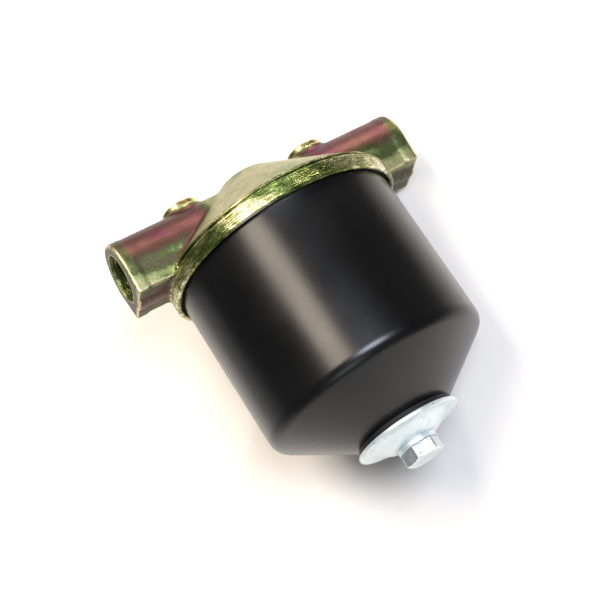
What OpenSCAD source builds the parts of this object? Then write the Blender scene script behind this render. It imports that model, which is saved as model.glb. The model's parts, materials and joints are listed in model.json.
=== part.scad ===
// Compressed-air line filter: cast head with two in-line ports, pressed steel bowl,
// one long bolt through the bowl, and a replaceable element held up by a spring.
// Millimetres. +Z up with the head on top, X along the ports.
// z = 0 is the plane of the two machined mounting bosses.

/* [Head casting] */
// mounting plane down to the lower edge of the rim
head_h = 41; // [30:0.5:60]
// from the face of one port to the face of the other
port_span = 150; // [125:1:200]
// mounting plane down to the port axis
port_drop = 18.7; // [17:0.1:30]
// outside radius of the rim band
rim_r = 58.6; // [50:0.2:80]
// height of the rim band
rim_h = 7.5; // [5:0.5:12]
// thickness of the rim wall around the recess
rim_wall = 2.4; // [2:0.1:5]
// depth of the recess that takes the bowl
recess_h = 5.5; // [4:0.1:9]
// crown of the dome above the mounting plane
crown_up = 2; // [0:0.5:6]
// thickness of the dome wall
dome_wall = 5; // [3:0.5:8]
// radius of the rounded top of the port bar
bar_r = 16.2; // [14:0.1:24]
// how far the end collars stand proud of the bar
collar_up = 0.3; // [0.3:0.1:2]
// length of one end collar along the bar
collar_len = 6; // [3:0.5:12]
// half the width of the bar at its flat bottom
bar_foot = 13.6; // [10:0.1:20]
// rim edge up to the flat bottom of the bar
bar_lift = 6.9; // [5:0.1:12]

/* [Ports and threads] */
// port thread, nominal diameter
port_thread = 22; // [16:1:26]
// port thread, pitch
port_pitch = 1.5; // [1:0.25:2]
// depth of the tapped part of a port
port_deep = 22; // [14:1:30]
// radius of the air passages behind the ports
duct_r = 8; // [5:0.5:9]
// tapped mounting holes, nominal diameter
tap_d = 8; // [6:1:10]
// tapped mounting holes, pitch
tap_pitch = 1.25; // [1:0.25:1.5]
// tapped mounting holes, depth
tap_deep = 8; // [6:0.5:9]
// distance between the two mounting holes
boss_span = 68; // [60:1:80]
// radius of a mounting boss
boss_r = 9.5; // [8:0.5:13]

/* [Bowl] */
// outside radius of the bowl
bowl_r = 55; // [46:0.5:76]
// sheet thickness of the bowl
bowl_t = 1.2; // [0.8:0.1:3]
// rim edge down to the start of the shoulder
bowl_h = 74; // [60:1:120]
// outside radius of the shoulder bend
shoulder_r = 7; // [4:0.5:12]
// flat bottom of the bowl, outside radius
floor_r = 23.5; // [20:0.5:32]
// slope of the conical bottom, millimetres of radius per millimetre of height
cone_run = 1.47; // [1.1:0.01:2]
// radius of the turned-out edge at the mouth
lip_r = 55.9; // [50:0.1:78]
// height of the lip's top face above the rim edge
lip_z = 3.2; // [1:0.1:5]
// thickness of the mouth gasket
gasket_t = 2; // [1:0.1:3]
// thickness of the gasket under the bowl
foot_gasket_t = 2.2; // [1:0.1:4]

/* [Clamp] */
// outside radius of the clamp disc
disc_r = 25.4; // [22:0.1:34]
// thickness of the clamp disc
disc_t = 1.8; // [1.2:0.1:4]
// width of the disc's flat rim, which presses on the gasket
disc_rim = 3.6; // [2:0.1:6]
// how far the middle of the disc is dished outwards
disc_dish = 4.8; // [0:0.1:6]
// radius of the washer under the bolt head
washer_r = 9.6; // [8.5:0.1:14]
// thickness of that washer
washer_t = 2.5; // [1:0.1:4]
// bolt thread, nominal diameter
bolt_d = 12; // [10:1:16]
// width across the flats of the bolt head
bolt_af = 17; // [16:0.5:24]
// height of the bolt head
bolt_k = 6.6; // [5:0.1:10]
// angle at which the tightened hexagon stands
bolt_stand = -7; // [-30:1:30]
// how far the bolt reaches above the rim edge
bolt_up = 24; // [15:1:28]

/* [Filter element] */
// outside radius of the end caps
cap_r = 39; // [30:0.5:46]
// thickness of the cap sheet
cap_t = 1; // [0.5:0.1:2]
// height of the element, cap to cap
element_h = 70; // [50:1:110]
// inside radius of the perforated core
core_r = 17.8; // [14:0.2:22]
// sheet thickness of the core and of the outer screen
sheet_t = 0.8; // [0.5:0.1:1.5]
// number of pleats
pleats = 48; // [24:1:72]
// thickness of the seal on top of the element
top_seal_t = 3; // [2:0.5:5]

/* [Spring] */
// wire radius
wire_r = 1; // [0.7:0.05:1.5]
// mean radius of the coil
coil_r = 12; // [10:0.25:15]
// number of turns
coils = 4.5; // [3:0.5:7]

/* [Fits] */
// gap between faces that press together but belong to different moving bodies
face_gap = 0.3; // [0.1:0.05:0.5]
// radial clearance of a bolt or pin in its hole
slip = 0.06; // [0.02:0.01:0.2]
// radial clearance between parts that only locate one another
loose = 0.3; // [0.2:0.05:0.5]
// overlap used only to make cuts and unions clean
eps = 0.5; // [0.1:0.1:1]

/* [Hidden] */
$fn = 96;
rim_z = -head_h;                                   // lower edge of the rim
axis_up = head_h - port_drop;                      // port axis above the rim edge
recess_r = rim_r - rim_wall;
seat_r = recess_r - 6.2;                           // inner edge of the gasket seat
crown_z = head_h + crown_up;
cap_top_r = 14;                                    // where the dome turns into its crown
dome_run = 1.45;
crown_rise = 3.5;
dome_top_z = crown_z - crown_rise;
dome_low_z = dome_top_z - (rim_r - 1.6 - cap_top_r) / dome_run;
wall_drop = dome_wall * sqrt(1 + 1 / (dome_run * dome_run));
tube_r = 24;                                       // outlet tube in the middle of the head
tube_in = 19.5;
tube_low = -1;
hub_r = 10.5;
hub_low = 2;
roof_z = 31;
port_r = (port_thread - 1.0825 * port_pitch) / 2;
tap_r = (tap_d - 1.0825 * tap_pitch) / 2;
half_span = port_span / 2;
shoulder_turn = 90 - atan(1 / cone_run);           // bend of the shoulder, degrees
cone_start_r = bowl_r - shoulder_r * (1 - cos(shoulder_turn));
cone_start_z = -bowl_h - shoulder_r * sin(shoulder_turn);
floor_z = cone_start_z - (cone_start_r - floor_r) / cone_run;
foot_z = floor_z - foot_gasket_t;                  // underside of the foot gasket
disc_z = foot_z - face_gap;
head_top = disc_z - disc_t - disc_dish - washer_t; // seat of the bolt head
bolt_r = bolt_d / 2;
seal_r = 9;                                        // rubber ring round the bolt
top_cap_z = tube_low - face_gap - top_seal_t;      // top face of the element's top cap
low_cap_z = top_cap_z - element_h;                 // lower face of the bottom cap
glue_t = 1.2;
screen_r = cap_r - 1.2;                            // outside radius of the outer screen
media_out = screen_r - sheet_t - loose;
media_in = core_r + sheet_t + loose;
cup_z = low_cap_z - 1.5;                           // lower face of the grommet's flange
cup_t = 1;
seat_t = 1;
spring_top = cup_z - cup_t;
spring_low = floor_z + bowl_t + seat_t;

// everything below is drawn from the rim edge, then moved to the mounting plane
module from_rim() { translate([0, 0, rim_z]) children(); }

module ring(r_in, r_out, z, h) {
  translate([0, 0, z]) difference() {
    cylinder(r = r_out, h = h);
    translate([0, 0, -eps]) cylinder(r = r_in, h = h + 2 * eps);
  }
}

module along_x(r, x1, x2) {
  translate([x1, 0, axis_up]) rotate([0, 90, 0]) cylinder(r = r, h = x2 - x1);
}

// rounded top, drafted sides and flat bottom of the port bar
module bar_section(grow) {
  circle(r = bar_r + grow);
  polygon([[0, -bar_r - grow], [0, bar_r + grow],
           [axis_up - bar_lift + grow * 0.6, bar_foot + grow],
           [axis_up - bar_lift + grow * 0.6, -bar_foot - grow]]);
}

module bar(grow, x1, x2) {
  translate([x1, 0, axis_up]) rotate([0, 90, 0]) linear_extrude(height = x2 - x1)
    bar_section(grow);
}

module dome(drop) {
  translate([0, 0, dome_low_z - drop])
    cylinder(r1 = rim_r - 1.6, r2 = cap_top_r, h = dome_top_z - dome_low_z);
}

// the solid outside of the casting, before any passage is cut
module head_body() {
  cylinder(r1 = rim_r - 1.2, r2 = rim_r, h = 1.2);
  translate([0, 0, 1.2]) cylinder(r = rim_r, h = rim_h - 1.2);
  translate([0, 0, rim_h - eps]) cylinder(r = rim_r - 1.6, h = dome_low_z - rim_h + eps);
  dome(0);
  translate([0, 0, dome_top_z])
    cylinder(r1 = cap_top_r, r2 = cap_top_r * 0.5, h = crown_rise * 0.78);
  translate([0, 0, dome_top_z + crown_rise * 0.78])
    cylinder(r1 = cap_top_r * 0.5, r2 = 2, h = crown_rise * 0.22);
  bar(0, -half_span + collar_len / 2, half_span - collar_len / 2);
  for (s = [-1, 1]) {
    bar(collar_up, s < 0 ? -half_span : half_span - collar_len,
        s < 0 ? -half_span + collar_len : half_span);
    translate([s * boss_span / 2, 0, axis_up]) cylinder(r = boss_r, h = port_drop);
  }
}

// ring-shaped inlet chamber, with the outlet duct left standing across it
module inlet_chamber() {
  difference() {
    intersection() {
      translate([0, 0, -eps]) cylinder(r = seat_r, h = head_h);
      union() {
        dome(wall_drop);
        translate([0, 0, -2]) cylinder(r = rim_r, h = dome_low_z - wall_drop + 2 + eps);
      }
    }
    translate([0, 0, -2 * eps]) cylinder(r = tube_r, h = head_h);
    along_x(duct_r + 3.5, 0, seat_r + eps);
  }
}

module head_casting() {
  color("darkkhaki") difference() {
    union() {
      head_body();
      translate([0, 0, tube_low]) cylinder(r = tube_r, h = roof_z);
    }
    inlet_chamber();
    translate([0, 0, tube_low - eps]) difference() {
      cylinder(r = recess_r, h = recess_h - tube_low + eps);
      translate([0, 0, -eps]) cylinder(r = tube_r, h = recess_h - tube_low + 3 * eps);
    }
    difference() {
      translate([0, 0, tube_low - eps]) cylinder(r = tube_in, h = roof_z - tube_low + eps);
      translate([0, 0, hub_low]) cylinder(r = hub_r, h = roof_z);
    }
    translate([0, 0, hub_low - eps]) cylinder(r = bolt_r + slip, h = bolt_up - hub_low + 6);
    for (s = [-1, 1]) {
      along_x(port_r, s < 0 ? -half_span - eps : half_span - port_deep,
              s < 0 ? -half_span + port_deep : half_span + eps);
      translate([s * boss_span / 2, 0, head_h - tap_deep]) cylinder(r = tap_r, h = tap_deep + eps);
    }
    along_x(duct_r, -half_span + port_deep - eps, -tube_r - 2);
    along_x(duct_r, hub_r + 2, half_span - port_deep + eps);
  }
}

module mouth_gasket() {
  color("dimgray") ring(seat_r + 0.6, recess_r - slip, recess_h - gasket_t, gasket_t);
}

// half section of the pressed bowl, mouth lip to bolt hole
module bowl_profile(t) {
  bend = [for (a = [0 : 6 : shoulder_turn])
    [bowl_r - shoulder_r + (shoulder_r - t) * cos(a), -bowl_h - (shoulder_r - t) * sin(a)]];
  dz = t * sqrt(1 + 1 / (cone_run * cone_run));
  foot = floor_r - (dz - t) * cone_run;
  polygon(concat([[0, lip_z + 1], [bowl_r - t, lip_z + 1]], bend,
                 [[foot, floor_z + t], [0, floor_z + t]]));
}

module bowl_shell() {
  color("#1a1a1a") difference() {
    union() {
      intersection() {
        rotate_extrude() bowl_profile(0);
        translate([0, 0, floor_z - 1]) cylinder(r = rim_r, h = lip_z - floor_z + 1);
      }
      translate([0, 0, lip_z - bowl_t]) cylinder(r = lip_r, h = bowl_t);
    }
    rotate_extrude() bowl_profile(bowl_t);
    translate([0, 0, floor_z - 1]) cylinder(r = seal_r, h = bowl_t + 2);
  }
}

module foot_gasket() {
  color("dimgray") ring(seal_r + slip, floor_r + 0.4, foot_z, foot_gasket_t);
}

module bolt_seal() {
  color("#333333") ring(bolt_r + slip, seal_r - slip, foot_z, foot_gasket_t + bowl_t);
}

// pressed washer on the bowl floor with a collar that centres the spring
module spring_seat() {
  color("silver") {
    difference() {
      union() {
        translate([0, 0, floor_z + bowl_t]) cylinder(r = coil_r + 3, h = seat_t);
        translate([0, 0, floor_z + bowl_t]) cylinder(r = coil_r - wire_r - loose, h = seat_t + 2.5);
      }
      translate([0, 0, floor_z]) cylinder(r = coil_r - wire_r - loose - 1, h = 10);
    }
  }
}

// round wire wound as a compression spring, end turns laid flat
module spring() {
  side = 10;
  step = 15;
  last = floor(coils * 360 / step);
  rise = spring_top - spring_low - 2 * wire_r - 2 * slip;
  function ease(u) = u < 0.18 ? 0.10 * u / 0.18 : u > 0.82 ? 0.90 + 0.10 * (u - 0.82) / 0.18
                   : 0.10 + 0.80 * (u - 0.18) / 0.64;
  rows = [for (i = [0 : last]) for (k = [0 : side - 1])
    let (a = i * step, b = k * 360 / side, r = coil_r + wire_r * cos(b))
    [r * cos(a), r * sin(a),
     spring_low + slip + wire_r + rise * ease(i / last) + wire_r * sin(b)]];
  quads = [for (i = [0 : last - 1]) for (k = [0 : side - 1])
    let (n = (k + 1) % side)
    each [[i * side + k, (i + 1) * side + k, (i + 1) * side + n],
          [i * side + k, (i + 1) * side + n, i * side + n]]];
  color("lightgray") polyhedron(points = rows, faces = concat(quads,
    [[for (k = [0 : side - 1]) k]], [[for (k = [side - 1 : -1 : 0]) last * side + k]]));
}

// outer face of the disc: flat in the middle, where the washer sits, then curved back to the flat rim
function dish_at(r) =
  let (flat_r = washer_r + loose, rim = disc_r - disc_rim)
  r <= flat_r ? disc_dish : r >= rim ? 0 : disc_dish * (1 - cos(180 * (rim - r) / (rim - flat_r))) / 2;

module clamp_disc() {
  steps = 12;
  flat_r = washer_r + loose;
  rim = disc_r - disc_rim;
  curve = [for (i = [0:steps]) flat_r + (rim - flat_r) * i / steps];
  color("gainsboro") rotate_extrude() polygon(concat(
    [[bolt_r + loose, disc_z - disc_dish]],
    [for (r = curve) [r, disc_z - dish_at(r)]],
    [[disc_r, disc_z], [disc_r, disc_z - disc_t]],
    [for (i = [0:steps]) let (r = curve[steps - i]) [r, disc_z - disc_t - dish_at(r)]],
    [[bolt_r + loose, disc_z - disc_t - disc_dish]]
  ));
}

module bolt_washer() { color("gainsboro") ring(bolt_r + loose, washer_r, head_top, washer_t); }

module through_bolt() {
  corner = bolt_af / sqrt(3);
  color("gainsboro") {
    intersection() {
      translate([0, 0, head_top - bolt_k]) rotate([0, 0, bolt_stand])
        cylinder(r = corner, h = bolt_k, $fn = 6);
      union() {
        translate([0, 0, head_top - bolt_k]) cylinder(r1 = bolt_af * 0.475, r2 = corner + 0.6, h = 1.3);
        translate([0, 0, head_top - bolt_k + 1.3]) cylinder(r = corner + 0.6, h = bolt_k);
      }
    }
    translate([0, 0, head_top - eps]) cylinder(r = bolt_r, h = bolt_up - head_top - 1.5 + eps);
    translate([0, 0, bolt_up - 1.5]) cylinder(r1 = bolt_r, r2 = bolt_r - 1.5, h = 1.5);
  }
}

module top_seal() { color("dimgray") ring(core_r + 1.2, tube_r + 0.5, top_cap_z, top_seal_t); }

// end cap: flat ring with an outer skirt, open towards the pleats
module cap(hole, z, up) {
  translate([0, 0, z]) mirror([0, 0, up ? 0 : 1]) difference() {
    translate([0, 0, -5]) cylinder(r = cap_r, h = 5);
    translate([0, 0, -5 - eps]) cylinder(r = cap_r - cap_t, h = 5 - cap_t + eps);
    translate([0, 0, -5 - eps]) cylinder(r = hole, h = 6);
  }
}

module top_cap() { color("silver") cap(core_r, top_cap_z, true); }

module bottom_cap() { color("silver") cap(seal_r, low_cap_z, false); }

module top_bond() {
  color("wheat") ring(core_r + sheet_t + slip, cap_r - cap_t - slip, top_cap_z - cap_t - glue_t, glue_t);
}

module bottom_bond() {
  color("wheat") ring(core_r + sheet_t + slip, cap_r - cap_t - slip, low_cap_z + cap_t, glue_t);
}

// sheet tube with rows of round holes
module holed_tube(r_in, z1, z2, around, hole_r, rows) {
  pitch = (z2 - z1) / rows;
  difference() {
    ring(r_in, r_in + sheet_t, z1, z2 - z1);
    for (j = [0 : rows - 1]) for (i = [0 : around - 1])
      translate([0, 0, z1 + pitch * (j + 0.5)]) rotate([0, 0, (i + 0.5 * (j % 2)) * 360 / around])
        translate([r_in - 2, 0, 0]) rotate([0, 90, 0]) cylinder(r = hole_r, h = sheet_t + 4, $fn = 32);
  }
}

module core_tube() {
  color("silver") holed_tube(core_r, low_cap_z + cap_t, top_cap_z - cap_t, 8, 3, 6);
}

module outer_screen() {
  color("silver") holed_tube(screen_r - sheet_t, low_cap_z + cap_t + glue_t + slip,
                             top_cap_z - cap_t - glue_t - slip, 12, 4, 5);
}

// folded filter paper: one closed zigzag band
module filter_media() {
  t = 0.5;
  n = pleats * 2;
  z1 = low_cap_z + cap_t + glue_t;
  z2 = top_cap_z - cap_t - glue_t;
  step = 360 / n;
  outer = [for (i = [0 : n - 1]) let (r = i % 2 == 0 ? media_out : media_in + 2 * t)
    [r * cos(i * step), r * sin(i * step)]];
  inner = [for (i = [0 : n - 1]) let (r = i % 2 == 0 ? media_out - 2 * t - 1.6 : media_in)
    [r * cos(i * step), r * sin(i * step)]];
  color("moccasin") translate([0, 0, z1]) linear_extrude(height = z2 - z1)
    difference() { polygon(outer); polygon(inner); }
}

module bottom_grommet() {
  color("dimgray") difference() {
    union() {
      translate([0, 0, low_cap_z - 1.5]) cylinder(r = seal_r + 3, h = 1.5);
      translate([0, 0, low_cap_z]) cylinder(r = seal_r - slip, h = 3);
    }
    translate([0, 0, low_cap_z - 3]) cylinder(r = bolt_r + loose, h = 8);
  }
}

// pressed cup that carries the spring force into the element
module spring_cup() {
  color("silver") difference() {
    union() {
      translate([0, 0, cup_z - cup_t]) cylinder(r = coil_r + wire_r + loose + 1, h = cup_t);
      translate([0, 0, cup_z - cup_t - 2.5]) cylinder(r = coil_r + wire_r + loose + 1, h = 2.6);
    }
    translate([0, 0, cup_z - cup_t - 3]) cylinder(r = coil_r + wire_r + loose, h = 3);
    translate([0, 0, cup_z - cup_t - 3]) cylinder(r = bolt_r + 1, h = 6);
  }
}

from_rim() head_casting();
from_rim() mouth_gasket();
from_rim() bowl_shell();
from_rim() foot_gasket();
from_rim() bolt_seal();
from_rim() spring_seat();
from_rim() spring();
from_rim() clamp_disc();
from_rim() bolt_washer();
from_rim() through_bolt();
from_rim() top_seal();
from_rim() top_cap();
from_rim() top_bond();
from_rim() core_tube();
from_rim() filter_media();
from_rim() outer_screen();
from_rim() bottom_bond();
from_rim() bottom_cap();
from_rim() bottom_grommet();
from_rim() spring_cup();
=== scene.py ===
# %% [markdown]
# # A compressed-air line filter
# A cast head with two threaded ports carries a pressed steel bowl. One long bolt goes up through a
# zinc-plated clamp disc, the bowl and the filter element into the head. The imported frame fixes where
# every part is and how it moves. This script builds what each part looks like around it.

# %% Load the frame
import json
import math

import bmesh
import bpy
import numpy as np
from mathutils import Matrix, Vector, noise

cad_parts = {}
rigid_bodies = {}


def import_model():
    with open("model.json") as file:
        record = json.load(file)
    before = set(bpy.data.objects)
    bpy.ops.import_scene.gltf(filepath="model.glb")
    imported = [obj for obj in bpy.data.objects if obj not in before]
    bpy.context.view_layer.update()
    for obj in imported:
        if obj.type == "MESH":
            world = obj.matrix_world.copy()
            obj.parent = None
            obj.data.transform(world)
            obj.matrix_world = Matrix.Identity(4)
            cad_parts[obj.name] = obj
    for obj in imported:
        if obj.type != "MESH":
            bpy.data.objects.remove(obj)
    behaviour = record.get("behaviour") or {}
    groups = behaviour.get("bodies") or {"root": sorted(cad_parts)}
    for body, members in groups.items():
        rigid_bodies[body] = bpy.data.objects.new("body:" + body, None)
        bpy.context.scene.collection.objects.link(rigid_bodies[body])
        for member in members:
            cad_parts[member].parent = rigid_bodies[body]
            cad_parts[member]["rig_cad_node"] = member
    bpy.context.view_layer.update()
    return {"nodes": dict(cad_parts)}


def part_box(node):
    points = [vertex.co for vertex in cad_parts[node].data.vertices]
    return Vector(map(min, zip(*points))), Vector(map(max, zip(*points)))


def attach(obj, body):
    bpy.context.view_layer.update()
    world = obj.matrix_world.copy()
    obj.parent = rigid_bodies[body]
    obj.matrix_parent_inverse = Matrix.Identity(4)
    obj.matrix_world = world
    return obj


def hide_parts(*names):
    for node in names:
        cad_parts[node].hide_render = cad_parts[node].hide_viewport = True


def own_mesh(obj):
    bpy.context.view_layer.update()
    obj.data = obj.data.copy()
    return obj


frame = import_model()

MM = 0.001

# %% [markdown]
# Sizes come from the frame's own boxes, so the looks follow the design when it changes. Only what a
# box can't tell, such as the thickness of a sheet or the radius of a rolled edge, is a number here.

# %% Measures taken from the frame
HEAD_LOW, HEAD_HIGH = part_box("head_casting")
RIM_R = HEAD_HIGH.y
PORT_X = HEAD_HIGH.x
BOWL_LOW, BOWL_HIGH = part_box("bowl_shell")
FOOT_LOW, FOOT_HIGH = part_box("foot_gasket")
DISC_LOW, DISC_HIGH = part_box("clamp_disc")
WASHER_LOW, WASHER_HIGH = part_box("bolt_washer")
BOLT_LOW, BOLT_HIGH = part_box("through_bolt")
RIM_Z = HEAD_LOW.z + 1 * MM          # lower edge of the rim
RIM_TOP_Z = RIM_Z + 7.5 * MM
SEAT_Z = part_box("mouth_gasket")[1].z  # where the gasket lies in the head
RECESS_R = RIM_R - 2.4 * MM
AXIS_Z = -18.7 * MM                  # height of the port axis
PORT_THREAD_R = 11 * MM
PORT_BORE_R = 10.19 * MM
BOSS_X = 34 * MM
BOSS_R = 9.5 * MM
BOLT_R = 6 * MM
BOLT_HOLE_R = 6.3 * MM               # clearance hole in disc and washer
DISC_SHEET = 1.8 * MM
DISC_RIM = 3.6 * MM                  # flat rim of the dished disc
BOWL_R = 55 * MM
BOWL_WALL = 74 * MM                  # rim edge down to the shoulder
BOWL_SHEET = 1.2 * MM
SHOULDER_R = 7 * MM                  # outside radius of the shoulder
BOLT_FLATS = 17 * MM                 # across the hexagon
BOLT_PITCH = 1.75 * MM
PORT_NAMES = {-1: "inlet", 1: "outlet"}
VOXEL_MM = 0.76                      # grain of the rebuilt casting


def reach_of(node, x_from, x_to):
    """Half the width of a CAD node between two places along X."""
    return max(abs(v.co.y) for v in frame["nodes"][node].data.vertices if x_from <= abs(v.co.x) <= x_to)


COLLAR_R = reach_of("head_casting", PORT_X - 1 * MM, PORT_X)
BAR_R = COLLAR_R - 0.3 * MM
BAR_TOP_Z = AXIS_Z + BAR_R
print("bar", BAR_R / MM, "collar", COLLAR_R / MM)
print("rim", RIM_R / MM, "bowl", BOWL_LOW.z / MM, "bolt", BOLT_LOW.z / MM, BOLT_HIGH.z / MM)

# %% [markdown]
# ## Mesh helpers
# Nearly every part is turned, pressed or rolled, so one helper spins a half section about the bolt
# axis, and another rounds the section's corners first: a real pressed or turned edge always has a
# small radius, and that radius is what catches the light.


# %% Round the corners of a section
def rounded(points, radius, steps=4):
    """A closed section with each corner replaced by an arc; radius may be one value or one a corner."""
    count = len(points)
    radii = radius if isinstance(radius, (list, tuple)) else [radius] * count
    result = []
    for i, here in enumerate(points):
        p = Vector(here)
        a = Vector(points[i - 1]) - p
        b = Vector(points[(i + 1) % count]) - p
        turn = a.angle(b)
        reach = min(radii[i] / math.tan(turn / 2), a.length * 0.48, b.length * 0.48)
        if reach < 1e-6:
            result.append(tuple(p))
            continue
        start, end = p + a.normalized() * reach, p + b.normalized() * reach
        for k in range(steps + 1):
            t = k / steps
            q = start * (1 - t) ** 2 + p * 2 * t * (1 - t) + end * t**2
            result.append(tuple(q))
    return result


# %% Make an object from points and faces
def placed(name, data):
    made = bpy.data.objects.new(name, data)
    bpy.context.scene.collection.objects.link(made)
    return made


def shade_smooth(mesh, sharp_angle):
    mesh.polygons.foreach_set("use_smooth", [True] * len(mesh.polygons))
    mesh.set_sharp_from_angle(angle=math.radians(sharp_angle))


def grid_faces(rows, around):
    """Quads between neighbouring rings of points, rows gaps high and closed round the ring."""
    faces = []
    for k in range(rows):
        for i in range(around):
            j = (i + 1) % around
            faces.append((k * around + i, k * around + j, (k + 1) * around + j, (k + 1) * around + i))
    return faces


def new_object(name, points, faces, smooth_angle=35):
    mesh = bpy.data.meshes.new(name)
    mesh.from_pydata([tuple(p) for p in points], [], faces)
    tidy = bmesh.new()
    tidy.from_mesh(mesh)
    bmesh.ops.remove_doubles(tidy, verts=tidy.verts, dist=1e-7)
    bmesh.ops.recalc_face_normals(tidy, faces=tidy.faces)
    tidy.to_mesh(mesh)
    tidy.free()
    obj = placed(name, mesh)
    shade_smooth(mesh, smooth_angle)
    return obj


# %% Spin a section about the bolt axis
def spun(name, section, around=128, wave=None):
    """section is a closed list of (radius, height); wave(angle, radius, height) may move each point."""
    points, faces = [], []
    count = len(section)
    for i in range(around):
        a = 2 * math.pi * i / around
        for r, z in section:
            if wave:
                r, z = wave(a, r, z)
            points.append((r * math.cos(a), r * math.sin(a), z))
    for i in range(around):
        j = (i + 1) % around
        for k in range(count):
            n = (k + 1) % count
            faces.append((i * count + k, j * count + k, j * count + n, i * count + n))
    return new_object(name, points, faces)


# %% Place a finished piece
def finish_piece(obj, body, node, material):
    obj.data.materials.clear()
    obj.data.materials.append(material)
    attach(obj, body)
    if node:
        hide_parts(node)
    print(obj.name, len(obj.data.polygons), "faces")
    return obj


# %% [markdown]
# ## Colour and shader helpers
# Paint and plating colours are read as sRGB hex values, but the shader works in linear light, so one
# function converts them. One more adds a node, sets it up and links it in a single call.


# %% Shader helpers
def colour(text):
    values = [int(text[i : i + 2], 16) / 255 for i in (1, 3, 5)]
    return [v / 12.92 if v <= 0.04045 else ((v + 0.055) / 1.055) ** 2.4 for v in values] + [1]


def add(tree, kind, inputs=(), **settings):
    """Adds a node; inputs maps a socket's name or number to a value or to another node's output."""
    made = tree.nodes.new(kind)
    for key, value in settings.items():
        setattr(made, key, value)
    for key, value in dict(inputs).items():
        if isinstance(value, bpy.types.NodeSocket):
            tree.links.new(value, made.inputs[key])
        else:
            made.inputs[key].default_value = value
    return made


def new_material(name):
    """An empty principled material, its shader, its node tree and coordinates in metres."""
    material = bpy.data.materials.new(name)
    material.use_nodes = True
    tree = material.node_tree
    shader = tree.nodes["Principled BSDF"]
    place = add(tree, "ShaderNodeTexCoord")
    return material, tree, shader, place


def ramp(tree, factor, stops, smooth=True):
    """A colour ramp from (position, hex colour) stops."""
    made = add(tree, "ShaderNodeValToRGB", {"Fac": factor})
    made.color_ramp.interpolation = "EASE" if smooth else "LINEAR"
    while len(made.color_ramp.elements) < len(stops):
        made.color_ramp.elements.new(0.5)
    for element, (position, text) in zip(made.color_ramp.elements, stops):
        element.position = position
        element.color = colour(text)
    return made.outputs["Color"]


def speckle(tree, place, size_mm, detail=3.0, rough=0.55, stretch=(1, 1, 1)):
    """Noise whose blobs are about size_mm across."""
    scaled = add(tree, "ShaderNodeMapping", {"Vector": place, "Scale": stretch})
    inputs = {
        "Vector": scaled.outputs[0],
        "Scale": 1 / (size_mm * MM * 2),
        "Detail": detail,
        "Roughness": rough,
    }
    return add(tree, "ShaderNodeTexNoise", inputs).outputs["Fac"]


def cell_distance(tree, place, size_mm):
    """Distance to the nearest of points scattered about size_mm apart."""
    inputs = {"Vector": place, "Scale": 1 / (size_mm * MM), "Randomness": 1.0}
    return add(tree, "ShaderNodeTexVoronoi", inputs).outputs["Distance"]


def maths(tree, operation, a, b=0.0, c=0.0, clamp=False):
    made = add(tree, "ShaderNodeMath", {0: a, 1: b, 2: c}, operation=operation, use_clamp=clamp)
    return made.outputs[0]


def remap(tree, value, low, high, to_low, to_high, **settings):
    """Maps value from low..high to to_low..to_high and stops at both ends."""
    inputs = {0: value, 1: low, 2: high, 3: to_low, 4: to_high}
    return add(tree, "ShaderNodeMapRange", inputs, **settings).outputs[0]


def mixed_colour(tree, factor, first, second):
    return add(tree, "ShaderNodeMix", {0: factor, 6: first, 7: second}, data_type="RGBA").outputs[2]


def reach_along(tree, place, direction):
    """How far a place lies along a direction."""
    inputs = {0: place, 1: tuple(direction)}
    return add(tree, "ShaderNodeVectorMath", inputs, operation="DOT_PRODUCT").outputs["Value"]


def coat(tree, shader, tint, sheen, metal=0.0):
    """Gives the surface its colour, its roughness and how metallic it is."""
    tree.links.new(tint, shader.inputs["Base Color"])
    tree.links.new(sheen, shader.inputs["Roughness"])
    shader.inputs["Metallic"].default_value = metal


def bump(tree, shader, height, depth_mm, under=None):
    """Raises the surface by depth_mm where height is 1."""
    inputs = {"Height": height, "Distance": depth_mm * MM, "Strength": 1.0}
    if under:
        inputs["Normal"] = under
    made = add(tree, "ShaderNodeBump", inputs)
    tree.links.new(made.outputs[0], shader.inputs["Normal"])
    return made.outputs[0]


# %% [markdown]
# ## Yellow passivate on cast iron
# The head is zinc plated and dipped in a yellow chromate. The film is thinner than light's wavelength
# in places, so it shows interference colours: dull gold where it drained thin, then green, then brown
# and a dull violet where it is thick. A slow noise stands for the film's thickness, the top of the port
# bar gets more of it, and one ramp turns thickness into colour. Sand-cast grain comes from a fine bump.


# %% Passivated casting
CAST_STOPS = [(0.08, "#aca077"), (0.22, "#98976b"), (0.34, "#7f8656"), (0.46, "#4c5632"),
              (0.56, "#534c38"), (0.70, "#5f413a"), (0.92, "#603643")]


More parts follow.
